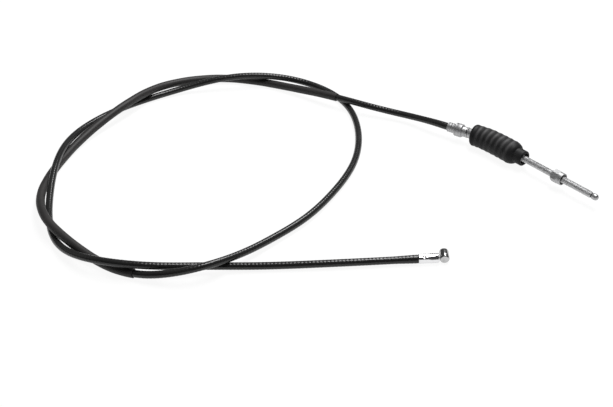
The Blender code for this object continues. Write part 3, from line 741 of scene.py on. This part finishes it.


# %% [markdown]
# The rod itself is a plain core under the thread. It starts with a swaged sleeve, where the wire is pressed
# in, and it ends in a smooth point behind a small undercut. A short dark band lines the undercut. Core,
# thread and band ride on the rod's body, so they slide into the boot together.

# %% Rod, thread and point
ROD_FROM, ROD_TO = 0.0586, 0.1666
SWAGE_TO, SWAGE_RADIUS = 0.0706, 0.0026
PRESS_MARKS, MARK_DEPTH = (0.0626, 0.0666), 0.0004
POINT_FROM, POINT_RADIUS = 0.1602, 0.0029
CORE_CUT, UNDERCUT, BAND_CUT = 0.00005, 0.0002, 0.00015
core_radius = ROD_RADIUS - THREAD_DEPTH

outline = [(ROD_FROM, SWAGE_RADIUS)]
for middle in PRESS_MARKS:
    outline += [(middle - 0.0012, SWAGE_RADIUS), (middle - 0.0006, SWAGE_RADIUS - MARK_DEPTH),
                (middle + 0.0006, SWAGE_RADIUS - MARK_DEPTH), (middle + 0.0012, SWAGE_RADIUS)]
outline += [(SWAGE_TO, SWAGE_RADIUS), (SWAGE_TO + 0.0003, core_radius - CORE_CUT),
            (POINT_FROM, core_radius - UNDERCUT), (POINT_FROM + 0.0010, core_radius - UNDERCUT),
            (POINT_FROM + 0.0011, POINT_RADIUS - 0.0002), (ROD_TO - 0.0032, POINT_RADIUS),
            (ROD_TO - 0.0013, POINT_RADIUS - 0.0004), (ROD_TO - 0.0004, POINT_RADIUS - 0.0012),
            (ROD_TO, POINT_RADIUS - 0.0022)]
core = skin("rod_core", spun(eased(outline, 0.00025, loop=False), 48), zinc_finish)
thread = screw_thread("rod_thread", SWAGE_TO, POINT_FROM - 0.0003, thread_finish)
band_radius = core_radius - BAND_CUT
neck = skin("rod_neck", spun([(POINT_FROM - 0.0003, band_radius), (POINT_FROM + 0.0011, band_radius)], 48),
            neck_finish)
for piece in (core, thread, neck):
    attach(place(piece, ROD_ORIGIN, ROD_ANGLE), "rod")
    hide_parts("threaded_rod")
print("thread faces:", len(thread.data.polygons))

# %% [markdown]
# ## The adjuster nut
# A hexagon is not an outline that can be spun, but it still is a row of rings: each ring's
# radius is the smaller of the hexagon's at that angle and of a cone's at that place. Where the
# two cross, the curved chamfer lines of a real nut appear by themselves. Beyond the hexagon,
# a rolled collar holds a dark ring of nylon that locks the nut on its thread.

# %% Adjuster nut
NUT_FROM, HEX_TO, NUT_TO = 0.1176, 0.1241, 0.1287
HALF_FLATS = 0.0050
NUT_FACE, NUT_CHAMFER = 0.0048, 0.0009
NUT_COLLAR = 0.0054
NUT_BORE = 0.00325
RECESS, RECESS_FROM = 0.0045, 0.1261
NUT_SIDES = 120

corner = HALF_FLATS / math.cos(math.radians(30))
turn = np.linspace(0, 2 * math.pi, NUT_SIDES, endpoint=False)
hexagon = HALF_FLATS / np.cos(np.mod(turn, math.radians(60)) - math.radians(30))
rows = []
for along in np.concatenate([np.linspace(0, NUT_CHAMFER, 10), np.linspace(0.0014, 0.0054, 5),
                             np.linspace(0.0055, HEX_TO - NUT_FROM, 6)]):
    front = NUT_FACE + (corner - NUT_FACE) * along / NUT_CHAMFER
    behind = NUT_COLLAR + 0.0001 + (HEX_TO - NUT_FROM - along) * 0.9
    rows.append((NUT_FROM + along, np.minimum(hexagon, min(front, behind))))
for along, radius in eased([(HEX_TO + 0.0001, NUT_COLLAR), (NUT_TO - 0.0002, NUT_COLLAR),
                            (NUT_TO, RECESS + 0.0001), (NUT_TO - 0.0003, RECESS), (RECESS_FROM, RECESS),
                            (RECESS_FROM, NUT_BORE), (NUT_FROM, NUT_BORE)], 0.0005, loop=False, parts=5):
    rows.append((along, np.full(NUT_SIDES, radius)))
rings = np.array([np.column_stack([np.full(NUT_SIDES, along), radius * np.cos(turn), radius * np.sin(turn)])
                  for along, radius in rows])
nut = skin("nut", rings, zinc_finish, loop=True, sharp=28)
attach(place(nut, ROD_ORIGIN, ROD_ANGLE), "nut")
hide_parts("adjuster_nut")

INSERT_FROM, INSERT_TO, INSERT_RADIUS = 0.1264, 0.1284, 0.0042
insert = skin("insert", spun(eased([(INSERT_FROM, NUT_BORE), (INSERT_FROM, INSERT_RADIUS),
                                    (INSERT_TO, INSERT_RADIUS), (INSERT_TO, NUT_BORE)], 0.0003), 64),
              nylon_finish, loop=True)
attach(place(insert, ROD_ORIGIN, ROD_ANGLE), "nut_carrier")
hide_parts("nut_insert")

# %% [markdown]
# ## The lever end
# The casing's other end sits in a bright plated cap that one punch mark holds on. The mark is a
# shallow bowl pressed into the wall, so the rings are spun first, and then the points near the
# mark are pushed in. The cap's rows stand close together there, so that the bowl stays round. The
# crimping tool also leaves six soft flats round the half of the cap that holds the casing.

# %% Lever ferrule with its punch mark
FERRULE_RADIUS, FERRULE_LENGTH = 0.00405, 0.0167
FERRULE_SEAT = 0.0108
DIMPLE_AT, DIMPLE_RADIUS, DIMPLE_DEPTH = 0.0044, 0.0015, 0.0005
DIMPLE_ANGLE = math.radians(120)
CRIMPED_TO, CRIMP_FADE, CRIMP_DEPTH = 0.0105, 0.003, 0.00018
CRIMP_TURN = math.radians(140)

outline = [(0.0, CASING_BORE), (0.0, FERRULE_RADIUS - 0.0001), (0.0005, FERRULE_RADIUS)]
outline += [(along, FERRULE_RADIUS) for along in np.arange(0.0025, 0.0065, 0.00014)]
outline += [(along, FERRULE_RADIUS) for along in np.arange(0.0067, 0.0115, 0.0004)]
outline += [(FERRULE_LENGTH - 0.0008, FERRULE_RADIUS), (FERRULE_LENGTH, FERRULE_RADIUS - 0.0008),
            (FERRULE_LENGTH, WIRE_BORE), (FERRULE_SEAT, WIRE_BORE), (FERRULE_SEAT, CASING_BORE)]
rings = spun(eased(outline, 0.0003), 160)
angle = np.arctan2(rings[..., 2], rings[..., 1])
size = np.hypot(rings[..., 1], rings[..., 2])
away = np.hypot(rings[..., 0] - DIMPLE_AT, FERRULE_RADIUS * (angle - DIMPLE_ANGLE)) / DIMPLE_RADIUS
outer = size > FERRULE_RADIUS - 0.0002
pressed = np.where(outer, DIMPLE_DEPTH * np.clip(1 - away**2, 0, 1)**0.8, 0)
fade = np.clip((CRIMPED_TO - rings[..., 0]) / CRIMP_FADE, 0, 1)
flats = np.where(outer, CRIMP_DEPTH * fade * (0.5 - 0.5 * np.cos(6 * (angle - CRIMP_TURN))), 0)
size = size - pressed - flats
rings[..., 1], rings[..., 2] = size * np.cos(angle), size * np.sin(angle)
ferrule = skin("ferrule", rings, chrome_finish, loop=True)
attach(place(ferrule, LEVER_ORIGIN, LEVER_ANGLE), "cable")
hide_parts("lever_ferrule")

# %% [markdown]
# The nipple is a short barrel that lies across the wire and hooks into the brake lever. Its
# edges are chamfered all round. The wire that carries it is laid up from strands, which show
# when the brake is pulled, so each outer strand is its own tube on a screw line.

# %% Nipple
NIPPLE_RADIUS = 0.0039
NIPPLE_CENTRE = 0.0212
NIPPLE_NEAR, NIPPLE_FAR = -0.0027, 0.0082
NIPPLE_EDGE = 0.0008
outline = [(NIPPLE_NEAR, NIPPLE_RADIUS - NIPPLE_EDGE), (NIPPLE_NEAR + NIPPLE_EDGE, NIPPLE_RADIUS),
           (NIPPLE_FAR - NIPPLE_EDGE, NIPPLE_RADIUS), (NIPPLE_FAR, NIPPLE_RADIUS - NIPPLE_EDGE)]
nipple = skin("nipple", spun(eased(outline, 0.0002, loop=False), 96), nipple_finish)
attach(place(nipple, LEVER_ORIGIN + lever_axis * NIPPLE_CENTRE, math.radians(90)), "nipple")
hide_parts("lever_nipple")

# %% Stranded wire at the nipple
STRANDS, STRAND_RADIUS, LAY = 12, 0.00020, 0.016
wire_from, wire_to = -0.0200, 0.0230
strand_line = np.linspace(wire_from, wire_to, 60)
middle = np.column_stack([strand_line, np.zeros(60), np.zeros(60)])
strands = [skin("strand_core", tube_rings(middle, 0.00066, 12), wire_finish)]
for number in range(STRANDS):
    turn = 2 * math.pi * (strand_line / LAY + number / STRANDS)
    line = np.column_stack([strand_line, 0.00080 * np.cos(turn), 0.00080 * np.sin(turn)])
    strands.append(skin(f"strand_{number}", tube_rings(line, STRAND_RADIUS, 7), wire_finish))
for strand in strands:
    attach(place(strand, LEVER_ORIGIN, LEVER_ANGLE), "nipple")
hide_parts("lever_wire_end")
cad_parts["rod_wire_end"].material_slots[0].material = wire_finish

# %% [markdown]
# ## Table and light
# The cable lies on a white table in an otherwise dark room. One long soft lamp hangs over it, a
# little behind and to the right, and a much weaker one stands on the left. Because nothing
# bright stands behind the table, the upper edge of every round piece mirrors the dark room and
# draws its own dark outline, while its lower edge mirrors the white table. The eye sees the table
# white everywhere, but in the metal it fades out to the left and right, as a table of limited
# size would. Without that, both sides of the barrel nipple would mirror white and look flat.

# %% White table
TABLE_GLOW = 0.92
TABLE_IN_METAL = 0.80
FADES_FROM, FADES_TO, FAR_GLOW = 0.35, 0.80, 0.08
table_finish = bpy.data.materials.new("white_table")
table_finish.use_nodes = True
tree = table_finish.node_tree
surface = tree.nodes["Principled BSDF"]
surface.inputs["Base Color"].default_value = (0.16, 0.16, 0.16, 1)
surface.inputs["Roughness"].default_value = 0.9
surface.inputs["Specular IOR Level"].default_value = 0.0
surface.inputs["Emission Color"].default_value = (1, 1, 1, 1)
rays = add_node(tree, 'ShaderNodeLightPath')
narrowed = add_node(tree, 'ShaderNodeVectorMath', operation='MULTIPLY')
tree.links.new(add_node(tree, 'ShaderNodeTexCoord').outputs["Object"], narrowed.inputs[0])
narrowed.inputs[1].default_value = (1.0, 0.5, 1.0)
from_aim = add_node(tree, 'ShaderNodeVectorMath', operation='LENGTH')
tree.links.new(narrowed.outputs[0], from_aim.inputs[0])
edge = add_node(tree, 'ShaderNodeMapRange', interpolation_type='SMOOTHSTEP')
for label, value in (("From Min", FADES_FROM), ("From Max", FADES_TO), ("To Min", TABLE_IN_METAL),
                     ("To Max", FAR_GLOW)):
    edge.inputs[label].default_value = value
tree.links.new(from_aim.outputs["Value"], edge.inputs["Value"])
looked_at = math_node(tree, 'MAXIMUM', rays.outputs["Is Camera Ray"], rays.outputs["Is Transmission Ray"])
mirrored = math_node(tree, 'MULTIPLY', rays.outputs["Is Glossy Ray"], edge.outputs[0])
glow = math_node(tree, 'MAXIMUM', math_node(tree, 'MULTIPLY', looked_at, TABLE_GLOW), mirrored)
tree.links.new(glow, surface.inputs["Emission Strength"])

table_mesh = bpy.data.meshes.new("table")
table_mesh.from_pydata([(-4, -3, 0), (4, -3, 0), (4, 5, 0), (-4, 5, 0)], [], [(0, 1, 2, 3)])
table_mesh.materials.append(table_finish)
table = bpy.data.objects.new("table", table_mesh)
bpy.context.collection.objects.link(table)

# %% Lamps and room
def soft_lamp(name, place_at, size, power, roll=0.0):
    """A rectangular lamp that faces the middle of the table, turned by roll about its own beam."""
    data = bpy.data.lights.new(name, 'AREA')
    data.shape = 'RECTANGLE'
    data.size, data.size_y = size
    data.energy = power
    lamp = bpy.data.objects.new(name, data)
    lamp.location = place_at
    facing = (AIM - Vector(place_at)).to_track_quat('-Z', 'Y')
    lamp.rotation_euler = (facing @ Quaternion((0, 0, 1), math.radians(roll))).to_euler()
    bpy.context.collection.objects.link(lamp)
    return lamp


soft_lamp("lamp_above", (0.205, 0.520, 1.462), (0.48, 1.40), 21, roll=22.0)
soft_lamp("lamp_left", (-1.9, 0.1, 0.8), (1.2, 1.0), 1)

room = bpy.data.worlds.new("room")
room.use_nodes = True
room.node_tree.nodes["Background"].inputs["Color"].default_value = (0.06, 0.06, 0.06, 1)
bpy.context.scene.world = room
